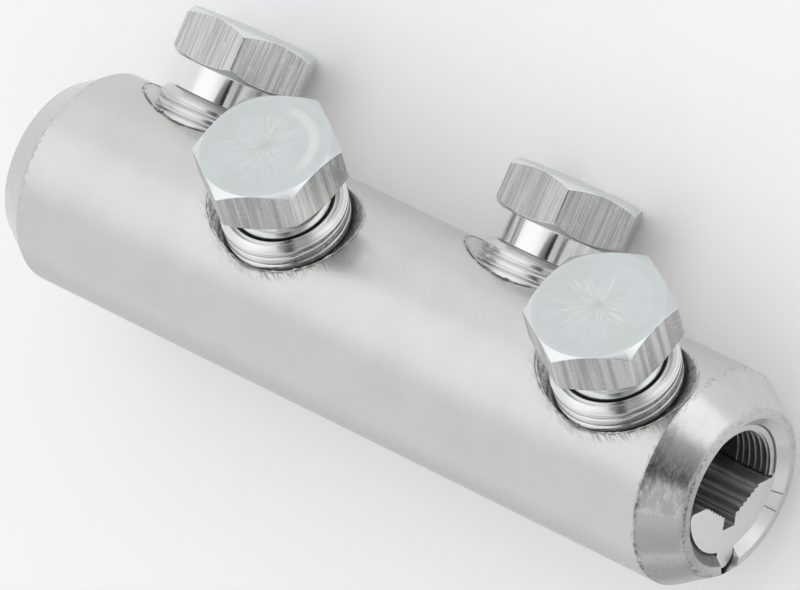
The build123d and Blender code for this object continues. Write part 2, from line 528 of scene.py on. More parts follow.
class SleevePlaces:
    """Where a point of the sleeve is, and the masks that several of its marks share."""

    def __init__(self, metal: Metal, effects: Effects, finish: "TinnedFinish") -> None:
        """Measure in the sleeve's own axes.

        Args:
            metal: The material, whose axes have x towards the bolts and z along the sleeve.
            effects: The shared node groups.
            finish: The finish, with the sizes that the masks go by.
        """
        wires, place = metal.wires, metal.place
        self.radius, self.angle, self.along = wires.group(effects.polar, place=place)
        self.reach = abs(self.along)
        self.shown = self.along.below(0.0)
        x, y, z = wires.split(place)
        self.drawn = wires.join(x * 0.8, y * 0.8, z * 2.2)
        self.lengthways = wires.join(x * 4.0, y * 4.0, z * 0.15)
        self.patches = wires.noise(place, 0.33, 3.0, 0.6).step(0.44, 0.6)
        self.blots = wires.noise(self.drawn, 0.8, 4.0, 0.7).step(0.34, 0.62)
        self.ends = (self.reach.step(finish.edge_x - 0.5, finish.edge_x + 0.2)
                     * self.radius.step(finish.rim_radius - 0.3, finish.rim_radius))
        self.lip = (self.reach.step(finish.face_x - 1.2, finish.face_x - 0.4)
                    * self.radius.band(finish.rim_radius - 0.3, 0.35, 0.5))
        self.on_face = self.reach.step(finish.face_x - 0.25, finish.face_x - 0.1)
        self.funnel = (self.reach.step(finish.funnel_x - 0.1, finish.funnel_x + 0.1)
                       * self.radius.step(finish.flare_radii[0] - 0.15, finish.flare_radii[0])
                       * self.radius.fade(finish.flare_radii[1], finish.flare_radii[1] + 0.2))
        inside = self.radius.fade(finish.bore_radius + 0.02, finish.bore_radius + 0.08)
        self.bore = inside * (1.0 - abs(metal.facing(2)).step(0.6, 0.9))


@dataclass(frozen=True)
class TinnedFinish:
    """Satin tin plate over turned aluminium, scuffed at edges and round the holes, with painted shade,
    highlights and reflections.
    """

    tone: Tone = (0.62, 0.632, 0.612)
    worn_tone: Tone = (0.575, 0.575, 0.57)
    stain_tone: Tone = (0.33, 0.345, 0.335)
    dull_tone: Tone = (0.235, 0.245, 0.24)
    cone_tone: Tone = (0.56, 0.575, 0.56)
    bright_tone: Tone = (0.80, 0.81, 0.80)
    deep_tone: Tone = (0.44, 0.44, 0.44)
    mark_tone: Tone = (0.10, 0.10, 0.10)
    low_tone: Tone = (0.475, 0.475, 0.47)
    rough: float = 0.29
    chamfer_rough: float = 0.20
    edge_x: float = 49.4
    face_x: float = 54.4
    funnel_x: float = 53.0
    rim_radius: float = 10.85
    bore_radius: float = 8.2
    crest_radius: float = 7.32
    flare_radii: Pair = (8.5, 9.5)
    slit_angles: Pair = (math.radians(109.5), math.radians(123.0))
    slit_half: float = 0.004
    seam_end: float = 1.68
    stain_angle: float = math.radians(-69.0)
    window: Pair = (-0.26, 0.14)
    corner_angle: float = -1.05
    dark_angle: float = math.radians(105.0)
    relief: float = 0.012

    def _dirt(self, wires: Wiring, effects: Effects, place: Amount, at: SleevePlaces) -> Amount:
        """Dark specks and rubbed lines along the chamfer's two edges.

        Args:
            wires: The material's wiring.
            effects: The shared node groups.
            place: The point in the sleeve's own axes.
            at: The shared masks.

        Returns:
            The mask.
        """
        (specks,) = wires.group(effects.specks, place=at.drawn, per_mm=1.7, density=0.72)
        edge = at.reach.band(self.edge_x, 0.12, 0.55)
        edge_line = (at.reach.band(self.edge_x + 0.05, 0.05, 0.3) * at.patches
                     * wires.noise(place, 1.6, 2.0).step(0.38, 0.55))
        left = abs(at.angle + self.dark_angle).step(0.7, 1.3, 1.0, 0.25)
        rubbed = (at.radius.band(self.rim_radius - 0.12, 0.04, 0.3)
                  * at.reach.step(self.face_x - 1.2, self.face_x - 0.6)
                  * wires.noise(place, 1.3, 4.0, 0.7).step(0.46, 0.6))
        return specks * (edge * 0.35 | at.lip * 0.2) | (edge_line | rubbed) * left * (at.shown * 0.6 + 0.15)

    def _mouth_lines(self, at: SleevePlaces) -> Amount:
        """Two short lines across the flare of the mouth, and the seam at its foot.

        Args:
            at: The shared masks.

        Returns:
            The mask.
        """
        half = self.slit_half
        first, second = (at.angle.band(slit, half, 2 * half) for slit in self.slit_angles)
        seam = (at.radius.band(self.bore_radius + 0.1, 0.06, 0.08)
                * at.reach.step(self.funnel_x - 0.2, self.funnel_x)
                * at.angle.step(0.0, 0.6) * at.angle.fade(self.seam_end - 0.06, self.seam_end))
        return (first | second) * at.funnel * at.shown * 0.9 | seam * 0.9

    def _stain(self, at: SleevePlaces) -> Amount:
        """The painted dark reflection in a window on the shown end's chamfer, a darker corner beside it,
        and fainter stain clouds elsewhere.

        Args:
            at: The shared masks.

        Returns:
            The mask.
        """
        wavy = at.angle - self.stain_angle + at.blots * 0.06
        left, right = self.window
        window = wavy.step(left - 0.08, left) * wavy.fade(right, right + 0.26)
        corner = at.reach.band(self.edge_x + 0.5, 0.35, 0.6) * at.angle.band(self.corner_angle, 0.2, 0.25)
        return at.ends * at.blots * (window * at.shown * 0.6 + at.patches * 0.12 + corner * at.shown * 0.5)

    def _dull(self, wires: Wiring, at: SleevePlaces) -> Amount:
        """Painted shade on the darker side of the shown end, its chamfer, face and flare, with brushed
        streaks.

        Args:
            wires: The material's wiring.
            at: The shared masks.

        Returns:
            The mask.
        """
        angle = at.angle
        brushed = wires.noise(wires.ring(angle, 45.0, at.along * 0.25), 1.0, 3.0, 0.7)
        face = at.on_face * angle.step(-1.35, -0.6, 0.6, 0.0) * angle.step(-3.0, -2.3, 0.4, 1.0)
        chamfer = at.ends * (1.0 - at.on_face) * angle.fade(-1.5, -1.2)
        low_left = angle.step(-2.42, -1.95, 1.0, 0.12)
        sides = (low_left * (chamfer | at.funnel * angle.fade(-1.9, -1.5))
                 * brushed.step(0.35, 0.65, 0.75, 1.0))
        return (face | sides) * at.shown * at.blots.step(0.0, 1.0, 0.75, 1.0)

    def material(self, effects: Effects, axes: Matrix) -> bpy.types.Material:
        """Build the finish.

        Args:
            effects: The shared node groups.
            axes: Where the sleeve's own axes are, x towards the bolts and z along the sleeve.

        Returns:
            The material.
        """
        metal = Metal("tinned_sleeve_finish", self.tone, self.rough, axes)
        wires, place = metal.wires, metal.place
        at = SleevePlaces(metal, effects, self)
        cone, gap_shade, line, hair, rays, high = wires.group(
            effects.hole_wear, radius=at.radius, angle=at.angle, along=at.along)
        # Painted shade along the sleeve's low side
        low_side_shade = (1.0 - at.on_face) * (at.angle.fade(-2.4, -1.9) | at.angle.step(2.4, 2.9))
        scratches = wires.noise(at.lengthways, 1.0, 3.0, 0.7).step(0.5, 0.66)
        crest = at.radius.fade(self.crest_radius - 0.05, self.crest_radius + 0.03)
        colour = wires.coats(
            self.tone,
            (wires.noise(place, 0.16, 2.0).step(0.35, 0.68) * 0.4, self.worn_tone),
            (low_side_shade, self.low_tone),
            # Painted shade on the shown end's darker side
            (self._dull(wires, at), self.dull_tone),
            # Painted highlights on the upper side of the end chamfers and of the mouth's flare
            (at.ends * at.angle.step(0.0, 0.5) * 0.5, self.bright_tone),
            (at.funnel * at.angle.step(1.0, 1.5) * 0.9, self.bright_tone),
            # Painted dark reflection on the shown end's chamfer, with stain clouds
            (self._stain(at), self.stain_tone),
            # Painted shade on the countersinks of the high row, and a painted highlight on those of the low
            # row
            (cone * high * 0.9, self.cone_tone),
            (cone * (1.0 - high), self.bright_tone),
            # Painted shade inside the bore
            (at.bore, self.deep_tone),
            (scratches * at.bore * 0.7, self.tone),
            # Painted highlight on the crests of the ceiling's ridges
            (crest * at.bore, self.bright_tone),
        )
        # Dark specks, burr edges, scratches, streaks and scored lines, with painted shade where the bolts
        # meet their holes and along the burrs, a painted reflection of a bolt's head beside each hole of
        # the high row, and a darker funnel on the low side of the shown end
        dark_funnel = at.funnel * at.shown * at.angle.step(-2.3, -1.9, 0.35, 0.0)
        marks_and_shade = (self._dirt(wires, effects, place, at) | gap_shade * 0.72 | line * 0.8 | hair * 0.62
                 | rays * 0.45 | dark_funnel | self._mouth_lines(at))
        colour = wires.blend(marks_and_shade, colour, self.mark_tone)
        (rings,) = wires.group(effects.turning, along=at.along, angle=at.angle, lines_per_mm=4.0)
        grain = wires.noise(place, 3.0, 3.0, 0.6)
        rough = ((grain - 0.5) * 0.10 + at.lip * 0.10 + marks_and_shade * 0.25 + cone * -0.08
                 + at.ends.step(0.0, 1.0, self.rough, self.chamfer_rough))
        relief = (rings * at.ends.step(0.0, 1.0, 0.05, 1.2) + grain * 0.15 + marks_and_shade * -1.2
                  + at.blots * at.ends * 0.5)
        return metal.finish(colour, rough, relief, self.relief)


@dataclass(frozen=True)
class PlatedFinish:
    """Plated aluminium bolts: turned neck and shank, drawn flats, scored head tops, with painted light and
    shade.
    """

    seed: float = 0.0
    broad: float = 0.55
    groove_dirt: float = 1.0
    # How strong the painted highlight on the rim of the head top is
    ring: float = 0.2
    flat_gains: Pair = (1.0, 1.0)
    shank_gain: float = 1.0
    tone: Tone = (0.79, 0.805, 0.805)
    top_tone: Tone = (0.595, 0.635, 0.64)
    top_light: Tone = (0.75, 0.785, 0.78)
    top_dark: Tone = (0.53, 0.555, 0.55)
    flat_tone: Tone = (0.405, 0.41, 0.41)
    streak_tone: Tone = (0.80, 0.80, 0.80)
    line_tone: Tone = (0.28, 0.29, 0.28)
    groove_tone: Tone = (0.13, 0.135, 0.13)
    rough: float = 0.11
    head_top: float = 25.1
    slope_foot: float = 22.5
    flat_foot: float = 19.2
    shank_top: float = 15.2
    groove_radius: float = 6.54
    groove_height: float = 15.05
    groove_half: float = 0.28
    scored_radius: float = 5.4
    halo_radius: float = 6.0
    shaded_radius: float = 8.0
    middle_radius: float = 1.9
    relief: float = 0.02

    def material(self, effects: Effects, name: str, axes: Matrix) -> bpy.types.Material:
        """Build the finish of one bolt.

        Args:
            effects: The shared node groups.
            name: The bolt's name.
            axes: Where the bolt's own axes are, z along the bolt.

        Returns:
            The material.
        """
        metal = Metal(f"plated_{name}_finish", self.tone, self.rough, axes)
        wires, place = metal.wires, metal.place
        x, y, _ = wires.split(place)
        radius, angle, height = wires.group(effects.polar, place=place)
        facing = metal.facing(2)
        on_top = facing.step(0.93, 0.985) * height.step(self.head_top - 0.2, self.head_top)
        on_flat = facing.band(0.0, 0.1, 0.25) * height.step(self.flat_foot - 0.1, self.flat_foot)
        on_slope = (facing.step(0.7, 0.8) * height.step(self.slope_foot - 0.5, self.slope_foot)
                    * (1.0 - on_top))
        drawn, drawn_tone = wires.group(effects.streaks, place=place, per_mm=2.4, length=14.0)
        fine, fine_tone = wires.group(effects.streaks, place=place, per_mm=8.0, length=5.0)
        streak = drawn_tone * self.broad + fine_tone * (1.0 - self.broad)
        (nicks,) = wires.group(effects.specks, place=place, per_mm=1.6, density=0.64)

        # Scores that run out from the middle of the head, fading towards its rim
        spokes = wires.noise(wires.ring(angle, 8.5, radius * 0.16 + self.seed), 2.2, 4.0, 0.65)
        sectors = wires.noise(wires.ring(angle, 1.3, radius * 0.18 + self.seed), 1.2, 3.0, 0.6)
        fading = on_top * (radius + sectors * -3.0).fade(0.4, self.scored_radius) * radius.step(0.2, 1.0)
        scores = spokes.step(0.50, 0.64) * fading
        shade = sectors.step(0.4, 0.62) * radius.fade(self.shaded_radius - 0.6, self.shaded_radius)
        middle = radius.fade(0.2, self.middle_radius)
        # Painted highlight on one side of the rim of the head top
        rim_highlight = radius.band(self.halo_radius, 0.3, 0.6) * on_top * (x + y).fade(-7.0, -3.0)
        colour = wires.coats(
            self.tone,
            (on_flat, self.flat_tone),
            (on_top, self.top_tone),
            # Painted light and shade: the head's top chamfer takes the top's tone on one side and a quarter
            # of it on the other
            (on_slope * y.step(-1.0, 3.0, 1.0, 0.25), self.top_tone),
            ((shade * 0.5 | middle) * on_top * 0.75, self.top_dark),
            (rim_highlight * self.ring, self.top_light),
            (scores * sectors.step(0.38, 0.6, 0.4, 0.95), self.top_light),
            (streak * on_flat * 0.62, self.streak_tone),
            (nicks * on_flat * 0.3, self.streak_tone),
        )

        # Painted light and shade: the flats on each side and the shank of each bolt are lighter or darker
        # as a whole
        left, right = self.flat_gains
        gain = (1.0 + on_flat * metal.facing(0).step(-0.75, -0.6, right - 1, left - 1)
                + height.step(self.shank_top, self.shank_top + 0.2, self.shank_gain - 1, 0.0))
        colour = wires.vector("MULTIPLY", colour, wires.join(gain, gain, gain))
        # Painted shade in the groove at the foot of the neck
        groove = (height.band(self.groove_height, self.groove_half, 0.08) * self.groove_dirt
                  * radius.fade(self.groove_radius, self.groove_radius + 0.1))
        lines = wires.noise(wires.ring(angle, 0.3, height * 2.6), 1.0, 2.0, 0.6).step(0.54, 0.6)
        lines = lines * height.fade(self.shank_top - 0.1, self.shank_top + 0.05)
        colour = wires.coats(colour, (groove, self.groove_tone), (lines * 0.4, self.line_tone))

        rough = (self.rough + on_top * 0.22 + on_flat * 0.18
                 + height.step(self.shank_top + 0.1, self.shank_top + 0.4, 0.09, 0.0)
                 + scores * -0.06 + groove * 0.3 + on_slope * 0.08 + facing.step(-0.9, -0.5, 0.25, 0.0))
        (rings,) = wires.group(effects.turning, along=height, angle=angle, lines_per_mm=4.5)
        on_land = facing.step(0.3, 0.6) * height.fade(self.shank_top + 0.8, self.shank_top + 1.0)
        circling = wires.join(radius, wires.math("SINE", angle), wires.math("COSINE", angle))
        turned = height.step(self.shank_top + 0.2, self.shank_top + 0.6, 0.4, 0.12)
        relief = (rings * turned * height.fade(self.flat_foot - 0.2, self.flat_foot)
                  + drawn * on_flat * (self.broad * 1.6) + fine * on_flat * 0.7
                  + wires.noise(circling, 4.0) * on_land * 0.3 + spokes * fading + nicks * on_flat * 0.8)
        return metal.finish(colour, rough, relief, self.relief)


BOLT_FINISHES = {
    "low_bolt_1": PlatedFinish(0.0, broad=0.3, groove_dirt=0.3, flat_gains=(0.77, 0.95), shank_gain=0.84),
    "high_bolt_1": PlatedFinish(3.1, broad=0.85, ring=0.1),
    "low_bolt_2": PlatedFinish(7.4, broad=0.2, groove_dirt=0.3, flat_gains=(0.9, 1.34), shank_gain=0.78),
    "high_bolt_2": PlatedFinish(11.8, broad=0.6, ring=0.5, flat_gains=(1.0, 1.5)),
}


@dataclass(frozen=True)
class SawnFinish:
    """Extruded aluminium insert with sawn ends."""

    tone: Tone = (0.72, 0.735, 0.72)
    deep_tone: Tone = (0.50, 0.505, 0.50)
    flank_tone: Tone = (0.52, 0.525, 0.52)
    line_tone: Tone = (0.93, 0.93, 0.93)
    flank_drop: float = -5.4
    flank_half: float = 5.1
    rough: float = 0.42
    relief: float = 0.02

    def material(self, effects: Effects, axes: Matrix) -> bpy.types.Material:
        """Build the finish.

        Args:
            effects: The shared node groups.
            axes: Where the sleeve's own axes are, z along the sleeve.

        Returns:
            The material.
        """
        metal = Metal("plain_insert_finish", self.tone, self.rough, axes)
        wires, place = metal.wires, metal.place
        on_end = abs(metal.facing(2)).step(0.7, 0.95)
        side = 1.0 - on_end
        drawn, drawn_tone = wires.group(effects.streaks, place=place, per_mm=3.0, length=30.0)
        _, lines = wires.group(effects.streaks, place=place, per_mm=6.0, length=40.0)
        (nicks,) = wires.group(effects.specks, place=place, per_mm=2.6, density=0.60)
        mottle = wires.noise(place, 1.2, 4.0, 0.65)
        up, across, _ = wires.split(place)
        flank = (side * up.step(self.flank_drop - 0.1, self.flank_drop + 0.1)
                 * abs(across).fade(self.flank_half - 0.05, self.flank_half + 0.05))
        colour = wires.coats(
            self.tone,
            (drawn_tone * side * 0.8, self.deep_tone),
            (nicks * 0.35, self.deep_tone),
            (flank, self.flank_tone),
            (flank * lines.step(0.55, 0.95), self.line_tone),
        )
        rough = mottle.step(0.2, 0.8, self.rough - 0.06, self.rough + 0.14)
        return metal.finish(colour, rough, drawn * side * 1.5 + mottle * on_end + nicks, self.relief)


def rounded(corners: Sequence[Triple], steps: int = 3) -> list[Pair]:
    """Turn an outline's corners into short arcs.

    Args:
        corners: Points of the outline with the radius wanted at each. An end's radius is unused.
        steps: Chords in each arc.

    Returns:
        Points of the outline. Their number depends only on the number of corners and on which
        of them have a radius, so outlines of one kind can be joined into a grid.
    """
    points: list[Pair] = []
    last = len(corners) - 1
    for k, (x, y, radius) in enumerate(corners):
        if radius <= 0 or k in (0, last):
            points.append((x, y))
            continue
        here = Vector((x, y))
        back, ahead = Vector(corners[k - 1][:2]) - here, Vector(corners[k + 1][:2]) - here
        turn = math.pi - back.angle(ahead)
        reach = min(radius * math.tan(turn / 2), 0.45 * back.length, 0.45 * ahead.length)
        start, end = here + back.normalized() * reach, here + ahead.normalized() * reach
        for j in range(steps + 1):
            t = j / steps
            spot = start.lerp(here, t).lerp(here.lerp(end, t), t)
            points.append((spot.x, spot.y))
    return points


def inset_outline(outline: Sequence[Pair], depth: float) -> list[Pair]:
    """Move a closed outline inwards.

    Args:
        outline: Its points, counter-clockwise.
        depth: How far it moves.

    Returns:
        The moved points.
    """
    moved = []
    count = len(outline)
    for k, here in enumerate(outline):
        spot = Vector(here)
        before, after = spot - Vector(outline[k - 1]), Vector(outline[(k + 1) % count]) - spot
        normals = [Vector((-d.y, d.x)).normalized() for d in (before, after) if d.length > 1e-6]
        mean = sum(normals, Vector((0, 0)))
        mean = mean.normalized() if mean.length > 1e-6 else normals[0]
        moved.append(tuple(spot + mean * depth))
    return moved


class Skin:
    """Points and faces of a piece while it is being made, in millimetres."""

    def __init__(self) -> None:
        """Start with nothing."""
        self.points: list[Triple] = []
        self.faces: list[tuple[int, ...]] = []

    def grid(self, rows: Sequence[Sequence[Triple]], wrap: bool = True, wrap_rows: bool = False) -> None:
        """Join rows of points with quads.

        Args:
            rows: Rows of equally many points.
            wrap: Whether each row closes on itself.
            wrap_rows: Whether the last row joins the first.
        """
        start, count = len(self.points), len(rows[0])
        for row in rows:
            self.points.extend(row)
        for r in range(len(rows) if wrap_rows else len(rows) - 1):
            here, up = start + r * count, start + (r + 1) % len(rows) * count
            for c in range(count if wrap else count - 1):
                after = (c + 1) % count
                self.faces.append((here + c, here + after, up + after, up + c))

    def cap(self, first: int, count: int, flip: bool = False) -> None:
        """Close the ring of count points that starts at point first."""
        ring = tuple(range(first, first + count))
        self.faces.append(ring[::-1] if flip else ring)

    def bar(self, rings: Sequence[Sequence[Triple]]) -> None:
        """Add a bar that is closed at both ends.

        Args:
            rings: The rings of points that it runs through.
        """
        start, count = len(self.points), len(rings[0])
        self.grid(rings)
        self.cap(start, count, flip=True)
        self.cap(len(self.points) - count, count)

    def faces_in(self) -> bool:
        """Tell how a closed piece's faces are turned.

        Returns:
            Whether they look inwards.
        """
        volume = 0.0
        for face in self.faces:
            first, *rest = (Vector(self.points[k]) for k in face)
            volume += sum(first.dot(b.cross(c)) for b, c in zip(rest, rest[1:]))
        return volume < 0

    def piece(self, name: str, place: Matrix, material: bpy.types.Material, sharp: float = 180.0,
              closed: bool = True) -> bpy.types.Object:
        """Make the Blender object.

        Args:
            name: The piece's name.
            place: Where its own axes go, in metres.
            material: Its finish.
            sharp: Edges that turn by more degrees than this stay sharp.
            closed: Whether the faces enclose the piece, so that they can be turned to look out.

        Returns:
            The object, linked to the scene.
        """
        mesh = bpy.data.meshes.new(name)
        faces = [face[::-1] for face in self.faces] if closed and self.faces_in() else self.faces
        mesh.from_pydata([place @ (Vector(p) * MM) for p in self.points], [], faces)
        mesh.validate()
        mesh.materials.append(material)
        mesh.shade_smooth()
        if sharp < 180:
            mesh.set_sharp_from_angle(angle=math.radians(sharp))
        made = bpy.data.objects.new(name, mesh)
        bpy.context.scene.collection.objects.link(made)
        made.modifiers.new("even shading", "WEIGHTED_NORMAL").keep_sharp = True
        LOG.info("%s: %d points, %d faces", name, len(mesh.vertices), len(mesh.polygons))
        return made


@dataclass
class Bolt:
    """One shear bolt: threaded shank, plain neck and hexagon head, turned from one bar."""

    name: str
    place: Matrix
    turn: float
    tip_height: float = 7.6
    tip_chamfer: float = 1.4
    thread_radius: float = 8.0
    shank_top: float = 15.2
    shank_chamfer: float = 0.75
    neck_radius: float = 6.35
    head_base: float = 19.05
    head_top: float = 25.249
    across_flats: float = 16.5
    top_radius: float = 8.2
    base_radius: float = 7.85
    chamfer_slope: float = math.tan(math.radians(30))
    corner_rounding: float = 0.14
    pitch: float = 1.25
    groove_depth: float = 0.2
    groove_half: float = 0.13
    crown: float = 0.05
    thread_row: float = 0.07
    groove_out: float = 0.24
    groove_in: float = 0.05
    groove_drop: float = 0.35
    flat_columns: int = 45
    cap_radii: Triple = (5.5, 3.0, 1.0)

    def columns(self) -> list[float]:
        """Place the grid's columns, closer together at the head's corners.

        Returns:
            Their angles from the first corner.
        """
        near = (0.0, 0.35, 0.75, 1.3)
        flat = (2.5 + 1.25 * k for k in range(self.flat_columns))
        sextant = [*near, *flat, *(60 - a for a in near[:0:-1])]
        return [60 * side + angle for side in range(6) for angle in sextant]

    def hexagon(self, angle: float) -> float:
        """Find the radius of the rounded hexagon.

        Args:
            angle: Angle from its first corner.

        Returns:
            The radius.
        """
        off = abs((angle + 30) % 60 - 30)
        flat = self.across_flats / 2 / math.cos(math.radians(30 - off))
        corner = self.across_flats / 2 / math.cos(math.radians(30))
        return min(flat, corner - self.corner_rounding * 0.5 + self.corner_rounding * 0.12 * off)

    def thread(self, angle: float, height: float) -> float:
        """Find the radius of the threaded shank.

        Args:
            angle: Angle from the head's first corner.
            height: Height along the bolt.

        Returns:
            The radius: a V groove, or the slight crown between two turns of it.
        """
        t = (height / self.pitch - (angle + self.turn) / 360) % 1
        off = abs(t - 0.5)
        if off < self.groove_half:
            return self.thread_radius - self.crown - self.groove_depth * (1 - off / self.groove_half)
        flat = (0.5 - off) / (0.5 - self.groove_half)
        return self.thread_radius - self.crown * flat**2

    def outline(self, angle: float) -> list[Pair]:
        """Draw the bolt's outline at one angle.

        Args:
            angle: Angle from the head's first corner.

        Returns:
            Radii and heights, from the rim of its tip's face to the middle of its top.
        """
        tip, crest, neck = self.tip_height, self.thread_radius, self.neck_radius
        foot, head = tip + self.tip_chamfer, self.shank_top - self.shank_chamfer
        rows = round((head - foot) / self.thread_row)
        heights = [foot + (head - foot) * k / rows for k in range(1, rows)]
        shank = [(3.0, tip), (crest - self.tip_chamfer, tip), (crest, foot)]
        shank += [(self.thread(angle, h), h) for h in heights]
        corner = self.hexagon(angle)
        low = self.head_base + (corner - self.base_radius) * self.chamfer_slope
        high = self.head_top - (corner - self.top_radius) * self.chamfer_slope
        groove = self.shank_top - self.groove_drop
        upper = rounded([
            (crest, head - 0.02, 0.0),
            (crest, head, 0.12),
            (crest - self.shank_chamfer, self.shank_top, 0.1),
            (neck + self.groove_out, self.shank_top, 0.1),
            (neck + self.groove_out - 0.15, groove, 0.1),
            (neck - self.groove_in, groove, 0.1),
            (neck - self.groove_in, self.shank_top + 0.08, 0.08),
            (neck, self.shank_top + 0.2, 0.1),
            (neck, self.head_base, 0.2),
            (self.base_radius, self.head_base, 0.15),
            (corner, low, 0.16),
            (corner, high, 0.16),
            (self.top_radius, self.head_top, 0.3),
            (self.cap_radii[0], self.head_top, 0.0),
        ])
        return shank + upper + [(radius, self.head_top) for radius in self.cap_radii[1:]]

    def build(self, material: bpy.types.Material) -> bpy.types.Object:
        """Make the bolt, dress it, and let it ride and stand for its solid.

        Args:
            material: Its finish.

        Returns:
            The piece.
        """
        spokes = [(self.outline(a), math.radians(a + self.turn)) for a in self.columns()]
        skin = Skin()
        skin.bar([[(o[k][0] * math.cos(t), o[k][0] * math.sin(t), o[k][1]) for o, t in spokes]
                  for k in range(len(spokes[0][0]))])
        made = skin.piece(f"{self.name}_turned", self.place, material)
        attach(made, self.name)
        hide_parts(self.name)
        return made


@dataclass
class Insert:
    """The V insert of one bore, an extruded profile with serrated flanks and a key."""

    end: End
    place: Matrix
    half_length: float = 54.4
    radius: float = 8.1
    land_drop: float = 0.95
    vee_half: float = 5.0
    vee_drop: float = 3.5
    relief_half: float = 1.2
    relief_drop: float = 5.25
    steps: int = 6
    key_half: float = 1.5
    key_floor: float = 10.5
    front_setback: float = 0.95
    back_x: float = 3.45
    edge: float = 0.1
    tooth: float = 0.06
    arc_steps: int = 48
    key_steps: int = 10
    side_wear: tuple[Pair, Pair] = ((0.3, 0.7), (1.1, 0.1))

    def flank(self, bite: float, even: float) -> list[Pair]:
        """Draw the stepped flank of the V on its +across side, from the land down.

        Args:
            bite: How strong the fine teeth are.
            even: How far the steps are worn to a plain slope, from 0 to 1.

        Returns:
            Points of the flank, to the foot of the relief slot.
        """
        points = [(self.vee_half, -self.land_drop)]
        run = (self.vee_half - self.relief_half) / self.steps
        fall = (self.vee_drop - self.land_drop) / self.steps
        for k in range(self.steps):
            across, low = self.vee_half - run * k, -self.land_drop - fall * (k + 1 - even * 0.5)
            deep = self.tooth * bite * (0.4 + abs(math.sin(2.3 * k + 1.1)))
            points += [(across - run * share, low - drop) for share, drop in (
                (0.0, 0.0), (0.3, 0.0), (0.5, deep), (0.7, 0.0), (1.0, fall * even * 0.5))]
        return [*points, (self.relief_half, -self.relief_drop)]

    def profile(self) -> list[Pair]:
        """Draw the insert as it is seen along the sleeve.

        Returns:
            Points of the closed outline, counter-clockwise.
        """
        side = math.sqrt(self.radius**2 - self.land_drop**2)
        foot = math.sqrt(self.radius**2 - self.key_half**2)
        start, end = math.atan2(-self.land_drop, side) - 0.09, math.atan2(-foot, self.key_half)
        right = [(side - 0.55, -self.land_drop), (side - 0.2, -self.land_drop - 0.08)]
        for k in range(self.arc_steps + 1):
            a = start + (end - start) * k / self.arc_steps
            right.append((self.radius * math.cos(a), self.radius * math.sin(a)))
        for k in range(self.key_steps):
            a = -math.pi / 2 * k / self.key_steps
            right.append((self.key_half * math.cos(a), self.key_half * (1 + math.sin(a)) - self.key_floor))
        half, other = (self.flank(*wear)[::-1] + right for wear in self.side_wear)
        return [*half, (0.0, -self.key_floor), *((-x, y) for x, y in other[::-1])]

    def build(self, material: bpy.types.Material) -> bpy.types.Object:
        """Make the insert, dress it, and let it ride and stand for its solid.

        Args:
            material: Its finish.

        Returns:
            The piece.
        """
        outline = self.profile()
        inset = inset_outline(outline, self.edge)
        front = self.half_length - self.front_setback
        spans = ((self.back_x, inset), (self.back_x + self.edge, outline), (front - self.edge, outline),
                 (front, inset))
        skin = Skin()
        skin.bar([[(self.end.value * x, across, up) for across, up in ring] for x, ring in spans])
        name = f"insert_{self.end.number}"
        made = skin.piece(f"{name}_profile", self.place, material, sharp=35.0)
        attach(made, name)
        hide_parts(name)
        return made


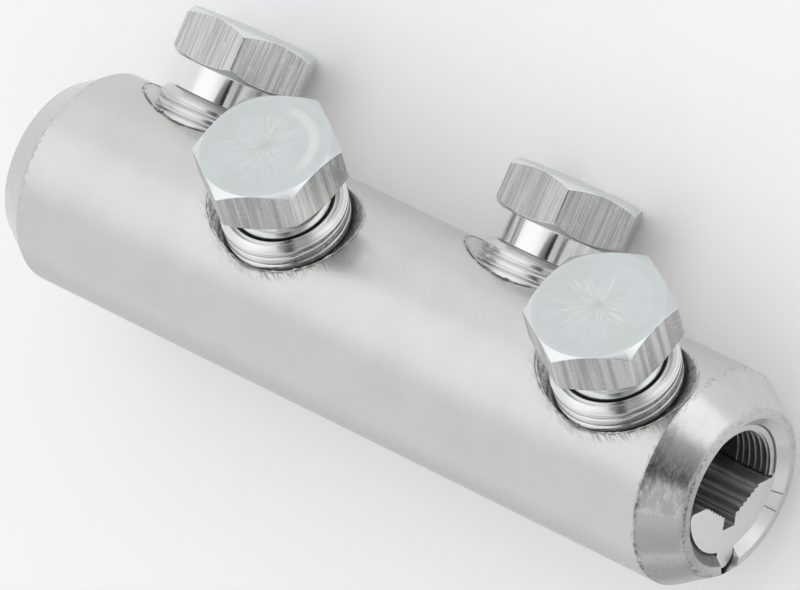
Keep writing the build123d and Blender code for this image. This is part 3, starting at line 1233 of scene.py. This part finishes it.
@dataclass
class Sleeve:
    """The turned sleeve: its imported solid, dressed, with lips, ridges and rims added."""

    vee_up: Matrix
    radius: float = 14.0
    half_length: float = 54.4
    chamfer_length: float = 5.0
    chamfer_drop: float = 3.15
    lip_tangent: float = 0.56
    lip_depth: float = 0.3
    key_half_angle: float = 9.4
    bore_radius: float = 8.2
    ceiling_radius: float = 7.5
    ceiling_half_angle: float = 83.0
    ridge_pitch: float = 0.9
    ridge_height: float = 0.16
    ridge_half: float = 0.055
    ridge_sway: float = 0.07
    ridge_spans: tuple[tuple[Pair, Pair], ...] = (
        ((-53.0, -46.7), (-30.3, -24.7)), ((21.9, 27.5), (43.8, 53.0)))
    skirt_half_angle: float = 96.0
    lip_steps: int = 228
    arc_steps: int = 8
    ridge_steps: int = 72
    hole_radius: float = 8.05
    countersink_radius: float = 10.65
    rim_radius: float = 0.11
    rim_sides: int = 8
    rim_steps: int = 240

    def lip(self, end: End, material: bpy.types.Material) -> bpy.types.Object:
        """Rounded lip between the end chamfer and the end face, open where the key slides out.

        Args:
            end: The sleeve's end.
            material: The sleeve's finish.

        Returns:
            The piece.
        """
        rim = self.radius - self.chamfer_drop
        slope = Vector((-self.chamfer_length, self.chamfer_drop)).normalized()
        corner = Vector((self.half_length, rim))
        start, finish = corner + slope * self.lip_tangent, corner - Vector((0, self.lip_tangent))
        shares = [k / self.arc_steps for k in range(self.arc_steps + 1)]
        arc = [start.lerp(corner, t).lerp(corner.lerp(finish, t), t) for t in shares]
        inner = [Vector((self.half_length - self.lip_depth, finish.y)),
                 start - Vector((0, self.lip_depth))]
        skin = Skin()
        sweep = self._sweep(math.pi - math.radians(self.key_half_angle), self.lip_steps)
        self._swept(skin, [(end.value * p.x, p.y) for p in (*arc, *inner)], sweep)
        return self._finish(skin, f"end_lip_{end.number}", material, 50.0, self.vee_up)

    def ridges(self, end: End, material: bpy.types.Material) -> bpy.types.Object:
        """Fine transverse ridges on the raised ceiling of one bore, and a sill along its sides.

        Args:
            end: The sleeve's end.
            material: The sleeve's finish.

        Returns:
            The piece.
        """
        skin = Skin()
        sweep = self._sweep(math.radians(self.skirt_half_angle), self.ridge_steps)
        edge = math.radians(self.ceiling_half_angle - 0.5)
        rising = [edge + math.radians(k) for k in range(14)]
        falling = [-a for a in rising[::-1]]
        foot, crest = self.ceiling_radius + 0.05, self.ceiling_radius - self.ridge_height
        wide, narrow = self.ridge_half, self.ridge_half * 0.35
        top = self.bore_radius - 0.02
        for low, high in self.ridge_spans[end.number - 1]:
            for k in range(int((high - low) / self.ridge_pitch)):
                x = low + self.ridge_pitch * (k + 0.5)
                outline = [(x - wide, foot), (x - narrow, crest), (x + narrow, crest), (x + wide, foot)]
                self._swept(skin, outline, sweep, self.ridge_sway)
            sill = [(low, self.ceiling_radius), (high, self.ceiling_radius), (high, top), (low, top)]
            for angles in (rising, falling):
                self._swept(skin, sill, angles)
        return self._finish(skin, f"ceiling_ridges_{end.number}", material, 40.0, self.vee_up)

    @staticmethod
    def _sweep(side: float, steps: int) -> list[float]:
        """Return angles from -side to side in equal steps."""
        return [side * (2 * k / steps - 1) for k in range(steps + 1)]

    @staticmethod
    def _swept(skin: Skin, outline: Sequence[Pair], angles: Sequence[float], sway: float = 0.0) -> None:
        """Add a closed bar that follows an arc round the sleeve's axis.

        Args:
            skin: The piece it is added to.
            outline: Places along the sleeve and radii.
            angles: Where the bar's rings of points are.
            sway: How far it wanders along the sleeve.
        """
        rings = []
        for a in angles:
            drift = sway * noise.noise(Vector((a * 4.0, outline[0][0] * 2.0, 0.5)))
            rings.append([(p + drift, r * math.sin(a), r * math.cos(a)) for p, r in outline])
        skin.bar(rings)

    def rim(self, name: str, bolt: Matrix, material: bpy.types.Material) -> bpy.types.Object:
        """Thin burr that runs round a countersink, where it meets the sleeve's outside.

        Args:
            name: The bolt in that hole.
            bolt: The bolt's place.
            material: The sleeve's finish.

        Returns:
            The piece.
        """
        centre, turned = bolt.translation / MM, bolt.to_3x3()
        out = turned @ Vector((0, 0, 1))
        section = [2 * math.pi * j / self.rim_sides for j in range(self.rim_sides)]
        rows = []
        for k in range(self.rim_steps):
            angle = 2 * math.pi * k / self.rim_steps
            side = turned @ Vector((math.cos(angle), math.sin(angle), 0))
            spot = self._where_cone_meets_sleeve(side, out)
            along = centre + spot
            thick = self.rim_radius * (0.6 + 0.9 * noise.noise(along * 0.9 + Vector((0, 0, 7))) ** 2 * 4)
            lift = Vector((0, spot.y, spot.z)).normalized()
            flat = (side - lift * side.dot(lift)).normalized()
            rows.append([tuple(along + lift * (thick * math.sin(t) - 0.02) + flat * thick * math.cos(t))
                         for t in section])
        skin = Skin()
        skin.grid(rows, wrap_rows=True)
        return self._finish(skin, f"rim_of_{name}", material, 180.0, Matrix.Identity(4))

    def _where_cone_meets_sleeve(self, side: Vector, out: Vector) -> Vector:
        """Find a point on the countersink's edge.

        Args:
            side: Its direction from the bolt's axis.
            out: The bolt's direction.

        Returns:
            The point, in millimetres from the sleeve's axis.
        """
        low, high = self.hole_radius, self.countersink_radius + 1.0
        for _ in range(40):
            reach = (low + high) / 2
            spot = side * reach + out * (self.radius - (self.countersink_radius - reach))
            if math.hypot(spot.y, spot.z) < self.radius:
                low = reach
            else:
                high = reach
        return spot

    def _finish(self, skin: Skin, name: str, material: bpy.types.Material, sharp: float,
                place: Matrix) -> bpy.types.Object:
        """Make a piece of the sleeve and let it ride on the sleeve.

        Args:
            skin: Its points and faces.
            name: Its name.
            material: The sleeve's finish.
            sharp: Edges that turn by more degrees than this stay sharp.
            place: Where its own axes go.

        Returns:
            The piece.
        """
        made = skin.piece(name, place, material, sharp)
        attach(made, "sleeve")
        return made

    def dress(self, material: bpy.types.Material) -> None:
        """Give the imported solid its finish.

        Args:
            material: The sleeve's finish.
        """
        solid = frame["nodes"]["sleeve"]
        for spot in solid.material_slots:
            spot.material = material
        LOG.info("sleeve: %d faces dressed", len(solid.data.polygons))


@dataclass(frozen=True)
class Lobe:
    """A soft patch of the studio's surroundings, lighter or darker than the rest."""

    azimuth: float
    elevation: float
    inner: float
    outer: float
    gain: float


@dataclass(frozen=True)
class Studio:
    """Pale floor, surroundings and camera."""

    sky: float = 0.92
    darkest: float = 0.02
    glow: float = 0.07
    lobes: tuple[Lobe, ...] = (
        Lobe(-30, 62, 12, 38, 0.30),
        Lobe(-75, 8, 10, 60, 0.12),
        Lobe(-121, 16, 8, 30, 0.40),
        Lobe(175, 10, 15, 60, -0.15),
        Lobe(112, 0, 12, 50, -0.34),
        Lobe(-142, 47, 8, 22, -0.34),
        Lobe(-165, 45, 10, 34, -0.16),
        Lobe(-155, 67, 9, 13, -0.64),
        Lobe(179, 58, 5, 10, -0.72),
    )
    floor_half: float = 1.5
    floor_drop: float = 0.00002
    floor_tone: Tone = (0.955, 0.955, 0.955)
    floor_patch: Tone = (0.975, 0.975, 0.975)
    camera_place: Triple = (-0.61607, -0.29092, 0.94326)
    camera_right: Triple = (-0.76095, -0.27010, -0.58992)
    camera_up: Triple = (0.36780, -0.92860, -0.04927)
    focal_px: float = 9444.4
    picture_width: int = 800
    sensor: float = 36.0

    def surroundings(self) -> None:
        """Light the scene from all round, brighter and darker in places."""
        world = bpy.data.worlds.new("studio")
        bpy.context.scene.world = world
        world.use_nodes = True
        wires = Wiring(world.node_tree)
        back = next(n for n in world.node_tree.nodes if n.type == "BACKGROUND")
        way = wires.vector("NORMALIZE", wires.value("TexCoord", output="Generated"))
        light: Value = self.sky
        for lobe in self.lobes:
            a, e = math.radians(lobe.azimuth), math.radians(lobe.elevation)
            aim = (math.cos(a) * math.cos(e), math.sin(a) * math.cos(e), math.sin(e))
            inner, outer = (math.cos(math.radians(v)) for v in (lobe.inner, lobe.outer))
            light = light + wires.vector("DOT_PRODUCT", way, aim).step(outer, inner, 0.0, lobe.gain)
        light = light | self.darkest
        wires.feed(back.inputs["Color"], wires.join(light, light, light))
        back.inputs["Strength"].default_value = 1.0

    def floor(self) -> bpy.types.Object:
        """Lay the pale floor, which keeps the object's shadow.

        Returns:
            The floor.
        """
        reach = self.floor_half / MM
        skin = Skin()
        skin.grid([[(x, y, 0.0) for x in (-reach, reach)] for y in (-reach, reach)], wrap=False)
        material = bpy.data.materials.new("pale_floor")
        shader = shader_of(material)
        wires = Wiring(material.node_tree)
        tint = wires.noise(local_mm(wires, Matrix.Identity(4)), 0.05, 2.0)
        wires.feed(shader.inputs["Base Color"], wires.blend(tint, self.floor_tone, self.floor_patch))
        for name, value in (("Roughness", 0.9), ("Specular IOR Level", 0.1),
                            ("Emission Color", (1.0, 1.0, 1.0, 1.0)), ("Emission Strength", self.glow)):
            shader.inputs[name].default_value = value
        made = skin.piece("floor", Matrix.Translation((0, 0, -self.floor_drop)), material, closed=False)
        return made

    def camera(self) -> None:
        """Camera at the photograph's viewing angle."""
        data = bpy.data.cameras.new("camera")
        data.sensor_fit = "HORIZONTAL"
        data.sensor_width = self.sensor
        data.lens = self.focal_px * self.sensor / self.picture_width
        data.clip_start, data.clip_end = 0.05, 10.0
        made = bpy.data.objects.new("camera", data)
        bpy.context.scene.collection.objects.link(made)
        right, up = Vector(self.camera_right).normalized(), Vector(self.camera_up)
        up = (up - right * up.dot(right)).normalized()
        turned = Matrix((right, up, right.cross(up))).transposed().to_4x4()
        made.matrix_world = Matrix.Translation(self.camera_place) @ turned
        bpy.context.scene.camera = made


def bolt_place(name: str, centre: Vector) -> Matrix:
    """Find a bolt's own axes: z along the bolt outwards, x along the sleeve.

    Args:
        name: The bolt's body.
        centre: Middle of the sleeve, in metres.

    Returns:
        The place, with its origin on the sleeve's axis.
    """
    joint = next(j for j in frame["joints"] if j["child"] == name)
    out = Vector(joint["axis"]).normalized()
    low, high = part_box(name)
    return axes_at(Vector(((low.x + high.x) / 2, centre.y, centre.z)), ALONG, out)


def main() -> None:
    """Build the connector, the studio and the camera."""
    logging.basicConfig(level=logging.INFO, format="%(name)s: %(message)s")
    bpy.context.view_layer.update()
    low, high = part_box("sleeve")
    centre = (low + high) / 2
    bpy.context.scene.view_settings.view_transform = "Standard"
    effects = Effects()
    places = {name: bolt_place(name, centre) for name in HEAD_TURNS}
    for name, turn in HEAD_TURNS.items():
        Bolt(name, places[name], turn).build(BOLT_FINISHES[name].material(effects, name, places[name]))

    up = sum((columns(places[name])[2] for name in ("low_bolt_1", "high_bolt_1")), Vector()).normalized()
    bench = axes_at(centre, ALONG, up)
    around = axes_at(centre, up, ALONG)
    tinned = TinnedFinish().material(effects, around)
    sawn = SawnFinish().material(effects, around)
    for end in End:
        Insert(end, bench).build(sawn)

    sleeve = Sleeve(bench)
    sleeve.dress(tinned)
    for add in (sleeve.lip, sleeve.ridges):
        for end in End:
            add(end, tinned)
    for name, place in places.items():
        sleeve.rim(name, place, tinned)

    studio = Studio()
    studio.surroundings()
    studio.floor()
    studio.camera()


if __name__ == "__main__":
    main()
